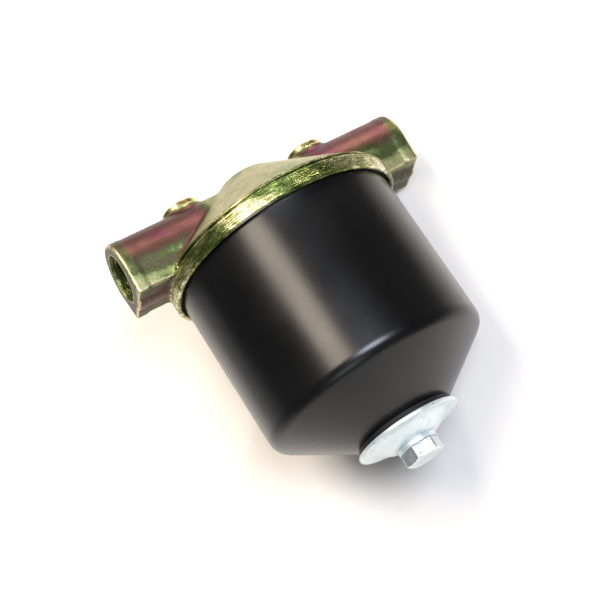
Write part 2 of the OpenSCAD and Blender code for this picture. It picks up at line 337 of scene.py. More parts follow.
def passivated_casting():
    material, tree, shader, place = new_material("yellow_passivated_cast_iron")
    spot = place.outputs["Object"]
    part = add(tree, "ShaderNodeSeparateXYZ", {0: spot})
    facing = add(tree, "ShaderNodeSeparateXYZ", {0: place.outputs["Normal"]})
    slow = speckle(tree, spot, 14, detail=2)
    fine = speckle(tree, spot, 2.2, detail=4, rough=0.65)
    along = maths(tree, "ABSOLUTE", part.outputs[0])
    rise = maths(tree, "SUBTRACT", part.outputs[2], AXIS_Z)
    rise_squared = maths(tree, "MULTIPLY", rise, rise)
    depth_squared = maths(tree, "MULTIPLY", part.outputs[1], part.outputs[1])
    from_axis = maths(tree, "SQRT", maths(tree, "ADD", rise_squared, depth_squared))
    near_axis = remap(tree, from_axis, BAR_R + 0.7 * MM, BAR_R + 2 * MM, 1.0, 0.0)
    on_bar = remap(tree, along, 0.024, 0.032, 0.0, 1.0)
    on_bar = maths(tree, "MULTIPLY", on_bar, near_axis)
    upward = remap(tree, facing.outputs[2], -0.20, 0.24, 0.0, 1.0)
    downward = remap(tree, facing.outputs[2], -0.6, -0.95, 0.0, 1.0)
    end_face = remap(tree, along, 0.0690, 0.0698, 1.0, 0.25)
    pink = maths(tree, "MULTIPLY", maths(tree, "MULTIPLY", on_bar, upward), end_face)
    pink = maths(tree, "ADD", pink, maths(tree, "MULTIPLY", downward, 0.55))
    film = maths(tree, "MULTIPLY_ADD", slow, 0.75, -0.13)
    film = maths(tree, "MULTIPLY_ADD", on_bar, 0.20, film)
    film = maths(tree, "MULTIPLY_ADD", pink, 0.36, film)
    film = maths(tree, "MULTIPLY_ADD", maths(tree, "SUBTRACT", fine, 0.5), 0.45, film, clamp=True)
    tint = ramp(tree, film, CAST_STOPS)
    edge = add(tree, "ShaderNodeAttribute", attribute_name="edge").outputs["Fac"]
    # Raised edges: partly worn film, partly a painted highlight in pale bright gold along the edges.
    edge_wear_and_glint = maths(tree, "MULTIPLY", edge, remap(tree, fine, 0.35, 0.55, 0.5, 1.0))
    tint = mixed_colour(tree, edge_wear_and_glint, tint, colour("#f0dfae"))
    sheen = remap(tree, fine, 0.3, 0.7, 0.34, 0.50)
    sheen = maths(tree, "MULTIPLY_ADD", edge_wear_and_glint, -0.12, sheen)
    coat(tree, shader, tint, sheen, 0.95)
    grain = speckle(tree, spot, 0.6, detail=4, rough=0.7)
    under = bump(tree, shader, grain, 0.20)
    bump(tree, shader, speckle(tree, spot, 4.0, detail=2), 0.10, under)
    return material


# %% [markdown]
# The rim, the boss tops and the mouths of the ports were cut after casting and then plated too. Turning
# leaves fine rings, so the noise is stretched along the cut, and the plating over the torn iron
# glitters. The film is thin here: mostly gold, with green where it pooled. The port bores get darker
# colours, which are painted shade for the inside of the ports.


# %% Passivated machined faces
def passivated_turning(name, stretch, glitter, stops):
    material, tree, shader, place = new_material(name)
    spot = place.outputs["Object"]
    slow = speckle(tree, spot, 9, detail=3)
    streak = speckle(tree, spot, 2.2, detail=4, rough=0.7, stretch=stretch)
    film = maths(tree, "MULTIPLY_ADD", slow, 1.3, -0.25)
    film = maths(tree, "MULTIPLY_ADD", maths(tree, "SUBTRACT", streak, 0.5), 1.1, film, clamp=True)
    sheen = remap(tree, streak, 0.3, 0.7, 0.20, 0.36)
    coat(tree, shader, ramp(tree, film, stops), sheen, 0.95)
    torn = speckle(tree, spot, 0.9, detail=2, rough=0.8)
    under = bump(tree, shader, torn, 0.14 * glitter)
    bump(tree, shader, streak, 0.42 * glitter, under)
    return material


# %% [markdown]
# ## Satin black enamel
# The bowl is sprayed and stoved. The paint is a smooth dielectric with a slight orange peel about a
# millimetre across, a little dust caught in it, and a broad satin highlight.


# %% Black enamel
def black_enamel():
    material, tree, shader, place = new_material("satin_black_stoved_enamel")
    spot = place.outputs["Object"]
    patch = speckle(tree, spot, 18, detail=3)
    tint = ramp(tree, patch, [(0.3, "#070707"), (0.7, "#0b0b0b")])
    mote = maths(tree, "LESS_THAN", cell_distance(tree, spot, 9), 0.028)
    tint = mixed_colour(tree, mote, tint, colour("#3c3a37"))
    coat(tree, shader, tint, remap(tree, patch, 0.3, 0.7, 0.26, 0.30))
    shader.inputs["IOR"].default_value = 1.52
    peel = speckle(tree, spot, 0.9, detail=2, rough=0.5)
    bump(tree, shader, peel, 0.012)
    return material


# %% [markdown]
# ## Blue-white zinc
# Clamp disc, washer and bolt have the ordinary bright zinc with a blue passivate. It is nearly white,
# faintly cyan, and slightly frosted, with small darker spots where the plating is thin.


# %% Blue-white zinc
def blue_zinc(name, light, dark, rough_low, rough_high, spots=True, metal=0.8):
    material, tree, shader, place = new_material(name)
    spot = place.outputs["Object"]
    cloud = speckle(tree, spot, 3.0, detail=4, rough=0.6)
    tint = ramp(tree, cloud, [(0.25, dark), (0.55, light)])
    if spots:
        near = remap(tree, cell_distance(tree, spot, 5), 0.05, 0.10, 1.0, 0.0)
        tint = mixed_colour(tree, near, tint, colour("#7c8a88"))
    coat(tree, shader, tint, remap(tree, cloud, 0.3, 0.7, rough_low, rough_high), metal)
    under = bump(tree, shader, speckle(tree, spot, 0.35, detail=2), 0.02)
    bump(tree, shader, speckle(tree, spot, 4, detail=2), 0.05, under)
    return material


# %% [markdown]
# ## Rubber, felt, paper, resin and spring wire
# These sit inside the filter and show when the bowl comes down. Rubber is nearly black with a matt
# bloom. Felt and paper scatter light in their fibres, so they are rough, with fibre noise drawn out
# along one direction. The bonding resin is a dull amber. Spring wire is dark, oiled and drawn.


# %% Small finishes
def plain_finish(name, dark, light, patch_mm, grain_mm, grain_depth, rough,
                 metal=0.0, ior=1.5, stretch=(1, 1, 1)):
    material, tree, shader, place = new_material(name)
    spot = place.outputs["Object"]
    tint = ramp(tree, speckle(tree, spot, patch_mm, detail=4), [(0.3, dark), (0.7, light)])
    if not metal:
        shader.inputs["IOR"].default_value = ior
    grain = speckle(tree, spot, grain_mm, detail=3, rough=0.6, stretch=stretch)
    coat(tree, shader, tint, remap(tree, grain, 0.3, 0.7, rough - 0.06, rough + 0.06), metal)
    bump(tree, shader, grain, grain_depth)
    return material


CAST = passivated_casting()
RIM_STOPS = [(0.05, "#f6f1d8"), (0.26, "#cfc79a"), (0.42, "#7f8a4a"), (0.62, "#47562a"),
             (0.95, "#5c4436")]
BOSS_STOPS = [(0.05, "#ece2b0"), (0.40, "#cbb978"), (0.70, "#a3a25e"), (0.95, "#8a7a4c")]
# The bore colours are darker than the rim and boss colours: painted shade for the inside of the ports.
BORE_PAINTED_SHADE_STOPS = [(0.05, "#8f8c5e"), (0.40, "#66703f"), (0.70, "#55503a"), (0.95, "#664a3c")]
RIM_FINISH = passivated_turning("yellow_passivated_turned_rim", (1, 1, 4), 1.0, RIM_STOPS)
BOSS_FINISH = passivated_turning("yellow_passivated_milled_face", (1, 1, 1), 0.3, BOSS_STOPS)
BORE_PAINTED_SHADE_FINISH = passivated_turning("yellow_passivated_tapped_bore_painted_shade", (4, 1, 1), 0.3, BORE_PAINTED_SHADE_STOPS)
ENAMEL = black_enamel()
ZINC = blue_zinc("blue_passivated_zinc_sheet", "#edf6f4", "#d3e4e4", 0.30, 0.42, metal=0.5)
BOLT_ZINC = blue_zinc("blue_passivated_zinc_bolt", "#e6ebea", "#c4cfce", 0.20, 0.30, spots=False)
SHEET = blue_zinc("bright_zinc_on_thin_sheet", "#d5dad9", "#b4bbba", 0.24, 0.36, spots=False)
RUBBER = plain_finish("nitrile_rubber", "#121212", "#1f1f1e", 6, 0.4, 0.03, 0.55, ior=1.52)
FELT = plain_finish("pressed_wool_felt", "#8d887b", "#b5af9f", 1.6, 0.5, 0.25, 0.92, ior=1.45)
PAPER = plain_finish("resin_treated_filter_paper", "#cbb17a", "#dfca97", 5, 0.5, 0.05, 0.85,
                     ior=1.45, stretch=(1, 1, 0.3))
RESIN = plain_finish("cured_plastisol", "#a98b4d", "#c2a563", 4, 1.5, 0.08, 0.45, ior=1.5)
WIRE = plain_finish("oiled_spring_wire", "#4b4b4d", "#6d6d70", 5, 0.5, 0.01, 0.32, metal=1.0)
print("materials", len(bpy.data.materials))

# %% [markdown]
# ## The cast head
# A casting has no sharp inside corners: the sand rounds them. Modelling every fillet by hand is slow,
# so the head starts as a copy of the frame's own solid, gets a few swellings a pattern maker would add,
# and is rebuilt from small voxels. Smoothing then melts the inside corners into fillets. The ends of
# the bar stay crisper on a real head, so they are smoothed much less.


# %% Copy the solid and add what the pattern has
def merge_solids(name, solids):
    joined = bmesh.new()
    for obj in solids:
        joined.from_mesh(obj.data)
    mesh = bpy.data.meshes.new(name)
    joined.to_mesh(mesh)
    joined.free()
    made = placed(name, mesh)
    for obj in solids:
        if "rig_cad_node" not in obj:
            bpy.data.objects.remove(obj)
    return made


def boss_skirt(x):
    """The flared foot where a mounting boss grows out of the bar."""
    top = BAR_TOP_Z + 0.6 * MM
    section = [(2 * MM, top - 8 * MM), (BOSS_R + 1.5 * MM, top - 8 * MM),
               (BOSS_R + 0.5 * MM, top - 1.2 * MM), (BOSS_R, top), (2 * MM, top)]
    made = spun("boss_skirt", section, 48)
    made.data.transform(Matrix.Translation((x, 0, 0)))
    return made


def crown_cap():
    """The rounded top of the dome, a shallow sphere over the cone."""
    rise, radius = 4.2 * MM, 24 * MM
    high = HEAD_HIGH.z
    foot = high - rise - 4 * MM
    steps = 10
    arc = [(radius * math.sin(t * 0.62 / steps), high - radius * (1 - math.cos(t * 0.62 / steps)))
           for t in range(steps, -1, -1)]
    section = [(1e-5, foot), (arc[0][0], foot)] + arc[:-1] + [(1e-5, high)]
    return spun("crown", section, 64)


def sprue_stub():
    """The ground-off stub where the iron ran in, on top of one arm of the bar."""
    section = [(1e-5, -1.5 * MM), (2.6 * MM, -1.5 * MM), (1.9 * MM, 0.9 * MM), (1e-5, 1.1 * MM)]
    made = spun("sprue", rounded(section, 0.5 * MM), 24)
    made.data.transform(Matrix.Translation((54 * MM, -1 * MM, BAR_TOP_Z)))
    return made


swellings = [boss_skirt(-BOSS_X), boss_skirt(BOSS_X), crown_cap(), sprue_stub()]
raw_head = merge_solids("head_body", [frame["nodes"]["head_casting"]] + swellings)
print("raw head", len(raw_head.data.polygons), "faces")


# %% Rebuild from voxels and melt the inside corners
def rebuilt(obj, voxel_mm):
    change = obj.modifiers.new("voxels", "REMESH")
    change.mode = "VOXEL"
    change.voxel_size = voxel_mm * MM
    made = bpy.data.meshes.new_from_object(obj.evaluated_get(bpy.context.evaluated_depsgraph_get()))
    obj.modifiers.clear()
    old, obj.data = obj.data, made
    bpy.data.meshes.remove(old)
    return obj


def mesh_arrays(mesh):
    points = np.empty(len(mesh.vertices) * 3)
    mesh.vertices.foreach_get("co", points)
    edges = np.empty(len(mesh.edges) * 2, dtype=np.int64)
    mesh.edges.foreach_get("vertices", edges)
    return points.reshape(-1, 3), edges.reshape(-1, 2)


def neighbour_mean(points, edges):
    """For each point, the middle of the points it shares an edge with."""
    count = np.bincount(edges.ravel(), minlength=len(points))[:, None]
    total = np.zeros_like(points)
    np.add.at(total, edges[:, 0], points[edges[:, 1]])
    np.add.at(total, edges[:, 1], points[edges[:, 0]])
    return total / count


def smoothed(mesh, passes, weight_of):
    points, edges = mesh_arrays(mesh)
    for _ in range(passes):
        points += (neighbour_mean(points, edges) - points) * weight_of(points)[:, None]
    mesh.vertices.foreach_set("co", points.ravel())
    mesh.update()


def soft_weight(points):
    """Full smoothing on the dome and the bar, little at the bar's ends."""
    x, y, z = points.T
    weight = np.full(len(points), 0.5)
    weight[(z < RIM_Z + 9.0 * MM) & (np.abs(y) < 16 * MM) & (np.abs(x) > 50 * MM)] = 0.2
    return weight


head = rebuilt(raw_head, VOXEL_MM)
smoothed(head.data, 4, soft_weight)
print("cast head", len(head.data.polygons), "faces")

# %% [markdown]
# The machined faces are separate turned skins laid over the casting, so the casting is drawn back a
# little wherever one of them covers it.


# %% Draw the casting back under the machined skins
def draw_back(mesh):
    points, _ = mesh_arrays(mesh)
    x, y, z = points.T
    radius = np.hypot(x, y)
    band = (radius > 49 * MM) & (z < RIM_TOP_Z + 2.9 * MM)
    outer, inner = RIM_R - 0.5 * MM, RECESS_R + 0.4 * MM
    wall = band & (z < SEAT_Z + 0.2 * MM) & (radius > RECESS_R - 1.5 * MM)
    neck = RIM_R - 3.4 * MM
    limit = np.where(z > RIM_TOP_Z - 1 * MM, neck, outer)
    target = np.where(wall, np.clip(radius, inner, outer), np.minimum(radius, limit))
    not_bar = ~((np.abs(y) < 17 * MM) & (np.abs(x) > 52 * MM) & (z > RIM_Z + 5.5 * MM))
    move = band & not_bar
    scale = np.where(move, target / np.maximum(radius, 1e-6), 1)
    x, y = x * scale, y * scale
    seat = (radius > 50.2 * MM) & (radius < RECESS_R + 0.2 * MM) & (z < SEAT_Z + 2 * MM) & (z > RIM_Z)
    z = np.where(seat, np.maximum(z, SEAT_Z + 0.5 * MM), z)
    z = np.where(wall, np.maximum(z, RIM_Z + 0.5 * MM), z)
    from_port = np.hypot(y, z - AXIS_Z)
    bore = (from_port < PORT_THREAD_R + 0.3 * MM) & (from_port > 5 * MM)
    bore &= np.abs(x) > PORT_X - 22.2 * MM
    grow = np.where(bore, (PORT_THREAD_R + 0.45 * MM) / np.maximum(from_port, 1e-6), 1)
    y, z = y * grow, AXIS_Z + (z - AXIS_Z) * grow
    from_boss = np.hypot(np.abs(x) - BOSS_X, y)
    cap = (from_boss < BOSS_R + 0.8 * MM) & (z > -2.6 * MM) & (from_boss > 4.3 * MM)
    shrink = np.where(cap, np.minimum(1, (BOSS_R - 0.4 * MM) / np.maximum(from_boss, 1e-6)), 1)
    side = np.sign(x) * BOSS_X
    x, y = np.where(cap, side + (x - side) * shrink, x), y * shrink
    z = np.where((from_boss < BOSS_R + 0.8 * MM), np.minimum(z, -0.4 * MM), z)
    mesh.vertices.foreach_set("co", np.stack([x, y, z], 1).ravel())
    mesh.update()


draw_back(head.data)


# %% [markdown]
# Raised edges lose most of their film when the castings knock together, and the shader paints them a
# pale bright gold that is partly that wear and partly a painted highlight along the edges. How sharply
# the surface bends at each point is measured once on the mesh and kept as an attribute for the shader.


# %% Mark the raised edges
def mark_edges(mesh, low=0.03, high=0.12):
    points, edges = mesh_arrays(mesh)
    normals = np.empty(len(points) * 3)
    mesh.vertices.foreach_get("normal", normals)
    sink = ((points - neighbour_mean(points, edges)) * normals.reshape(-1, 3)).sum(1)
    step = np.linalg.norm(points[edges[:, 0]] - points[edges[:, 1]], axis=1).mean()
    amount = np.clip((sink / step - low) / (high - low), 0, 1)
    made = mesh.attributes.new("edge", "FLOAT", "POINT")
    made.data.foreach_set("value", amount.astype(np.float32))
    print("edge points", int((amount > 0.5).sum()), "of", len(points))


mark_edges(head.data)
shade_smooth(head.data, 60)
finish_piece(head, "head", "head_casting", CAST)

# %% [markdown]
# ## Rim, bosses and port threads
# The rim band is one turned ring: outer face with faint tool rings, a broken lower edge, and the recess
# that takes the bowl. Above the band the cutter left an undercut, which reads as the thin dark line
# under the dome.


# %% Turned rim
def rim_ring():
    low, high = RIM_Z, RIM_TOP_Z
    outline = [(50.1 * MM, SEAT_Z), (RECESS_R, SEAT_Z), (RECESS_R, low + 0.5 * MM),
               (RECESS_R + 0.5 * MM, low), (RIM_R - 1.0 * MM, low), (RIM_R, low + 0.9 * MM)]
    rings = 6
    for i in range(1, rings):
        z = low + 0.9 * MM + (high - low - 1.5 * MM) * i / rings
        outline += [(RIM_R, z - 0.3 * MM), (RIM_R - 0.22 * MM, z), (RIM_R, z + 0.3 * MM)]
    outline += [(RIM_R, high - 0.6 * MM), (RIM_R - 0.5 * MM, high), (RIM_R - 1.0 * MM, high - 0.1 * MM),
                (RIM_R - 2.8 * MM, high - 0.1 * MM), (RIM_R - 2.8 * MM, high + 1.4 * MM),
                (RIM_R - 1.4 * MM, high + 1.4 * MM), (RIM_R - 1.4 * MM, high + 2.0 * MM),
                (RIM_R - 3.2 * MM, high + 3.1 * MM), (50.1 * MM, high + 3.1 * MM)]
    return spun("rim_ring", rounded(outline, 0.12 * MM, 2), 256, wave=rim_chatter)


def rim_chatter(angle, radius, height):
    """Slow waviness of a band cut on an uneven casting."""
    if radius > RIM_R - 0.3 * MM:
        spot = Vector((math.cos(angle) * 6, math.sin(angle) * 6, height / MM * 0.6))
        radius -= 0.05 * MM * (0.5 + 0.5 * noise.noise(spot * 2.2))
    return radius, height


rim = rim_ring()
finish_piece(rim, "head", None, RIM_FINISH)


# %% [markdown]
# A thread is a helix, but its wall is also just a surface whose radius depends on angle and height. A
# grid with that formula gives a closed, clean wall with no helix to join at the ends.


# %% Threaded wall
def ridge(phase):
    """Height of a sixty-degree thread, 0 at the root and 1 at the crest, with small flats."""
    t = abs(phase % 1 - 0.5) * 2
    return min(1, max(0, (t - 0.12) / 0.76))


def threaded_wall(name, crest_r, root_r, z_low, z_high, pitch, lead, around=96, per_turn=8):
    """Thread about Z from z_low to z_high; lead fades the first and last turn into the plain wall."""
    rows = int((z_high - z_low) / pitch * per_turn)
    points = []
    for k in range(rows + 1):
        z = z_low + (z_high - z_low) * k / rows
        fade = min(1, (z - z_low) / lead + 0.001, (z_high - z) / lead + 0.001)
        for i in range(around):
            a = 2 * math.pi * i / around
            r = root_r + (crest_r - root_r) * ridge(z / pitch - i / around) * fade
            points.append((r * math.cos(a), r * math.sin(a), z))
    return new_object(name, points, grid_faces(rows, around), 30)


def port_lining(side):
    """Thread, chamfer and bottom ring of one port, turned about Z and then laid along the bar."""
    root, bottom, pitch = PORT_THREAD_R, -21.9 * MM, 1.5 * MM
    thread = threaded_wall("port_thread", PORT_BORE_R, root, bottom, -1.2 * MM, pitch, pitch)
    mouth = spun(
        "port_mouth",
        [(root, -1.25 * MM), (root + 0.55 * MM, -0.02 * MM), (root + 1.5 * MM, -0.02 * MM),
         (root + 1.5 * MM, -2.4 * MM), (root + 0.2 * MM, -2.4 * MM)],
        96,
    )
    shoulder = spun(
        "port_shoulder",
        [(8.1 * MM, bottom), (root + 0.3 * MM, bottom), (root + 0.3 * MM, -22.6 * MM),
         (8.1 * MM, -22.6 * MM)],
        96,
    )
    made = merge_solids("port_lining_" + PORT_NAMES[side], [thread, mouth, shoulder])
    turn = Matrix.Rotation(math.radians(90 * side), 4, "Y")
    made.data.transform(Matrix.Translation((side * PORT_X, 0, AXIS_Z)) @ turn)
    shade_smooth(made.data, 40)
    return made


for side in (-1, 1):
    finish_piece(port_lining(side), "head", None, BORE_PAINTED_SHADE_FINISH)


# %% Machined boss tops with their tapped holes
def boss_top(side):
    hole, depth = 4.0 * MM, 8 * MM
    cap = spun(
        "boss_cap",
        rounded(
            [(hole + 0.5 * MM, 0), (BOSS_R - 0.6 * MM, 0), (BOSS_R, -0.6 * MM), (BOSS_R, -3.2 * MM),
             (hole, -3.2 * MM), (hole, -0.5 * MM)],
            0.12 * MM, 2,
        ),
        96,
    )
    thread = threaded_wall("boss_thread", 3.33 * MM, hole, -depth, -0.6 * MM, 1.25 * MM, 1.2 * MM, 48)
    drilled = [(1e-5, -depth - 1.2 * MM), (hole, -depth + 0.05 * MM), (hole, -depth - 1 * MM),
               (1e-5, -depth - 2 * MM)]
    floor = spun("boss_floor", drilled, 48)
    made = merge_solids("boss_top_" + PORT_NAMES[side], [cap, thread, floor])
    made.data.transform(Matrix.Translation((side * BOSS_X, 0, 0)))
    shade_smooth(made.data, 40)
    return made


for side in (-1, 1):
    finish_piece(boss_top(side), "head", None, BOSS_FINISH)

# %% [markdown]
# ## The bowl
# Deep-drawn from sheet: the mouth is turned out into a lip that the head's recess takes, the wall runs
# down to a tight shoulder, and the bottom draws in as a cone to a flat seat round the bolt.


# %% Bowl
def tangent_turn(across, down, bend):
    """Angle through which the shoulder bends before the straight cone meets the edge of the floor."""
    return math.pi / 2 - math.atan2(down, across) + math.asin(bend / math.hypot(across, down))


def bowl():
    lip_top = BOWL_HIGH.z
    lip_low = lip_top - BOWL_SHEET
    floor_z = BOWL_LOW.z
    floor_r = FOOT_HIGH.x - 0.4 * MM
    shoulder_z = RIM_Z - BOWL_WALL
    inside_r = BOWL_R - BOWL_SHEET
    inside_bend = SHOULDER_R - BOWL_SHEET
    turn = tangent_turn(BOWL_R - SHOULDER_R - floor_r, shoulder_z - floor_z, SHOULDER_R)
    cone_r = BOWL_R - SHOULDER_R * (1 - math.cos(turn))
    cone_z = shoulder_z - SHOULDER_R * math.sin(turn)
    outer = [(BOWL_HIGH.x, lip_top), (BOWL_HIGH.x, lip_low), (BOWL_R, lip_low - 0.5 * MM)]
    outer += [(BOWL_R, lip_low - (lip_top - shoulder_z) * i / 6) for i in range(1, 6)]
    outer += [(BOWL_R - SHOULDER_R * (1 - math.cos(a)), shoulder_z - SHOULDER_R * math.sin(a))
              for a in np.linspace(0, turn, 9)]
    outer += [(floor_r, floor_z), (9 * MM, floor_z)]
    inner = [(9 * MM, floor_z + BOWL_SHEET), (floor_r - 0.4 * MM, floor_z + BOWL_SHEET)]
    inner += [(cone_r - 0.7 * MM, cone_z + 1.0 * MM)]
    inner += [(inside_r - inside_bend * (1 - math.cos(a)), shoulder_z - inside_bend * math.sin(a))
              for a in np.radians(np.linspace(45, 0, 6))]
    inner += [(inside_r, lip_low), (inside_r + 0.4 * MM, lip_top)]
    return spun("bowl", rounded(outer + inner, 0.15 * MM, 2), 192)


finish_piece(bowl(), "bowl", "bowl_shell", ENAMEL)

# %% [markdown]
# ## Clamp disc, gasket, washer and bolt
# The disc is pressed from sheet. Its flat rim bears on the gasket, and its middle is dished away from
# the bowl, so that it springs a little under the bolt. The press rounds both edges, the lower one more.
# The rubber between disc and bowl squeezes out into two thin beads.


# %% Clamp disc and washer
def clamp_disc():
    edge, low, high = DISC_HIGH.x, DISC_HIGH.z - DISC_SHEET, DISC_HIGH.z
    dish = high - DISC_LOW.z - DISC_SHEET
    flat, rim = WASHER_HIGH.x + 0.3 * MM, edge - DISC_RIM
    sweep = [i / 16 for i in range(17)]
    curve = [(flat + (rim - flat) * t, dish * (1 + math.cos(math.pi * t)) / 2) for t in sweep]
    section = [(BOLT_HOLE_R, DISC_LOW.z)] + [(r, low - drop) for r, drop in curve]
    section += rounded([(edge - 1.6 * MM, low), (edge, low), (edge, high), (edge - 1.6 * MM, high)],
                       [0, 0.8 * MM, 0.55 * MM, 0], 5)
    section += [(r, high - drop) for r, drop in reversed(curve)]
    section += [(BOLT_HOLE_R, DISC_LOW.z + DISC_SHEET)]
    return spun("clamp_disc_plate", section, 160)


def bolt_washer():
    low, high, edge = WASHER_LOW.z, WASHER_HIGH.z, WASHER_HIGH.x
    section = [(BOLT_HOLE_R, low), (edge, low), (edge, high), (BOLT_HOLE_R, high)]
    return spun("bolt_washer_plate", rounded(section, [0.2 * MM, 0.35 * MM, 0.5 * MM, 0.2 * MM]), 96)


def foot_gasket():
    low, high, edge = FOOT_LOW.z, FOOT_HIGH.z, FOOT_HIGH.x
    middle = (low + high) / 2
    section = [(9.1 * MM, low), (edge - 0.3 * MM, low), (edge, low + 0.45 * MM),
               (edge - 0.5 * MM, middle), (edge, high - 0.45 * MM), (edge - 0.3 * MM, high),
               (9.1 * MM, high)]
    return spun("foot_gasket_ring", rounded(section, 0.25 * MM, 3), 128)


finish_piece(clamp_disc(), "clamp", "clamp_disc", ZINC)
finish_piece(bolt_washer(), "clamp", "bolt_washer", ZINC)
finish_piece(foot_gasket(), "bowl", "foot_gasket", RUBBER)

# %% [markdown]
# The bolt is one grid like the thread: its radius at each height and angle is the smallest of the
# hexagon, the thirty-degree chamfer cone and a small rounding at the corners. The thread is rolled on
# at the upper end, where it screws into the hub.


# %% Through bolt
BOLT_STAND = math.radians(-7)        # how far the hexagon is turned about the bolt


def hexagon_radius(angle):
    part = (angle - BOLT_STAND) % (math.pi / 3) - math.pi / 6
    return min(BOLT_FLATS / 2 / math.cos(part), BOLT_FLATS / 2 * 1.137)


def through_bolt():
    low, seat, top = BOLT_LOW.z, WASHER_LOW.z, BOLT_HIGH.z
    thread_low = top - 30 * MM
    around = 144
    heights = [low + 0.3 * MM * i for i in range(9)] + [seat - 0.5 * MM, seat - 0.35 * MM]
    rows = [[min(hexagon_radius(2 * math.pi * i / around), BOLT_FLATS * 0.475 + (z - low) * 1.73)
             for i in range(around)] for z in heights]
    centre_rows = [(low + 0.12 * MM, 1e-5), (low + 0.12 * MM, BOLT_FLATS * 0.40),
                   (low, BOLT_FLATS * 0.44)]
    for z, r in reversed(centre_rows):
        heights.insert(0, z)
        rows.insert(0, [r] * around)
    heights += [seat - 0.35 * MM, seat - 0.02 * MM, seat, seat + 0.01 * MM]
    rows += [[8.1 * MM] * around, [8.0 * MM] * around, [BOLT_R + 0.05 * MM] * around, [BOLT_R] * around]
    heights.append(thread_low)
    rows.append([BOLT_R] * around)
    steps = int((top - 1.6 * MM - thread_low) / BOLT_PITCH * 8)
    for k in range(1, steps + 1):
        z = thread_low + (top - 1.6 * MM - thread_low) * k / steps
        depth = 1.0 * MM * min(1, (z - thread_low) / (2 * MM))
        heights.append(z)
        rows.append([BOLT_R - depth * (1 - ridge(z / BOLT_PITCH - i / around)) for i in range(around)])
    for r, z in ((4.9 * MM, top - 1.2 * MM), (4.4 * MM, top - 0.3 * MM), (4.0 * MM, top), (1e-5, top)):
        heights.append(z)
        rows.append([r] * around)
    points = [(r * math.cos(2 * math.pi * i / around), r * math.sin(2 * math.pi * i / around), z)
              for z, row in zip(heights, rows) for i, r in enumerate(row)]
    return new_object("through_bolt_m12", points, grid_faces(len(rows) - 1, around), 28)


finish_piece(through_bolt(), "bolt", "through_bolt", BOLT_ZINC)

# %% [markdown]
# ## Inside the bowl
# The element and its spring only show when the filter is taken apart, but each is a real piece: pressed
# caps with rolled skirts, a perforated core and guard, pleated paper, resin, rubber, felt and a spring.


# %% Pressed and moulded rings
def ring_like(name, node, inner_mm, radius_mm, body, material, bulge=0.0):
    """A flat or moulded ring of the frame node's size; bulge rounds its outside."""
    low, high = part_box(node)
    inner, outer, flat = inner_mm * MM, high.x, high.x - bulge * MM
    middle = (low.z + high.z) / 2
    section = [(inner, low.z), (flat, low.z), (outer, middle), (flat, high.z), (inner, high.z)]
    made = spun(name, rounded(section, radius_mm * MM, 3), 128)
    return finish_piece(made, body, node, material)


ring_like("mouth_gasket_ring", "mouth_gasket", 50.6, 0.3, "head", RUBBER, 0.2)
ring_like("bolt_seal_ring", "bolt_seal", 6.06, 0.4, "bowl", RUBBER, 0.3)
ring_like("top_seal_felt", "top_seal", 19.0, 0.5, "element", FELT, 0.4)
ring_like("top_bond_resin", "top_bond", 18.66, 0.3, "element", RESIN, 0.1)
ring_like("bottom_bond_resin", "bottom_bond", 18.66, 0.3, "element", RESIN, 0.1)


# %% Pressed shells that keep the frame's section
def pressed_shell(name, section_mm, body, node, material, edge=0.35, around=128):
    section = [(r * MM, z) for r, z in section_mm]
    return finish_piece(spun(name, rounded(section, edge * MM, 3), around), body, node, material)


def element_cap(name, node, hole, up):
    low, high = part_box(node)
    face, skirt = (high.z, low.z) if up else (low.z, high.z)
    s = -1 if up else 1
    t, r = 1 * MM, high.x / MM
    pressed_shell(
        name,
        [(hole, face), (r - 4, face), (r - 3, face + s * 0.4 * MM), (r - 1.6, face + s * 0.1 * MM),
         (r, face + s * 0.9 * MM), (r, skirt), (r - 1, skirt),
         (r - 1, face + s * (0.9 * MM + t * 0.6)), (hole, face + s * t)],
        "element", node, SHEET,
    )


element_cap("element_top_cap", "top_cap", 17.8, True)
element_cap("element_bottom_cap", "bottom_cap", 9.0, False)

cup_low, cup_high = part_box("spring_cup")
cup_r = cup_high.x / MM
pressed_shell(
    "spring_cup_pressing",
    [(7, cup_high.z), (cup_r, cup_high.z), (cup_r, cup_low.z), (cup_r - 1, cup_low.z),
     (cup_r - 1, cup_high.z - 1 * MM), (7, cup_high.z - 1 * MM)],
    "element", "spring_cup", SHEET, 0.4,
)
seat_low, seat_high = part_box("spring_seat")
seat_r = seat_high.x / MM
pressed_shell(
    "spring_seat_pressing",
    [(9.7, seat_high.z), (10.7, seat_high.z), (10.7, seat_low.z + 1 * MM), (seat_r, seat_low.z + 1 * MM),
     (seat_r, seat_low.z), (9.7, seat_low.z)],
    "bowl", "spring_seat", SHEET, 0.3,
)
grommet_low, grommet_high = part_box("bottom_grommet")
grommet_r = grommet_high.x / MM
pressed_shell(
    "bolt_grommet",
    [(6.3, grommet_low.z), (grommet_r, grommet_low.z), (grommet_r, grommet_low.z + 1.5 * MM),
     (8.94, grommet_low.z + 1.5 * MM), (8.94, grommet_high.z), (6.3, grommet_high.z)],
    "element", "bottom_grommet", RUBBER, 0.35,
)


# %% [markdown]
# Perforated tube is flat sheet punched with round holes and then rolled. It is built the same way: a
# flat grid of cells, each with a round hole in its middle, is wrapped round the axis, and every second
# row is shifted by half a cell.


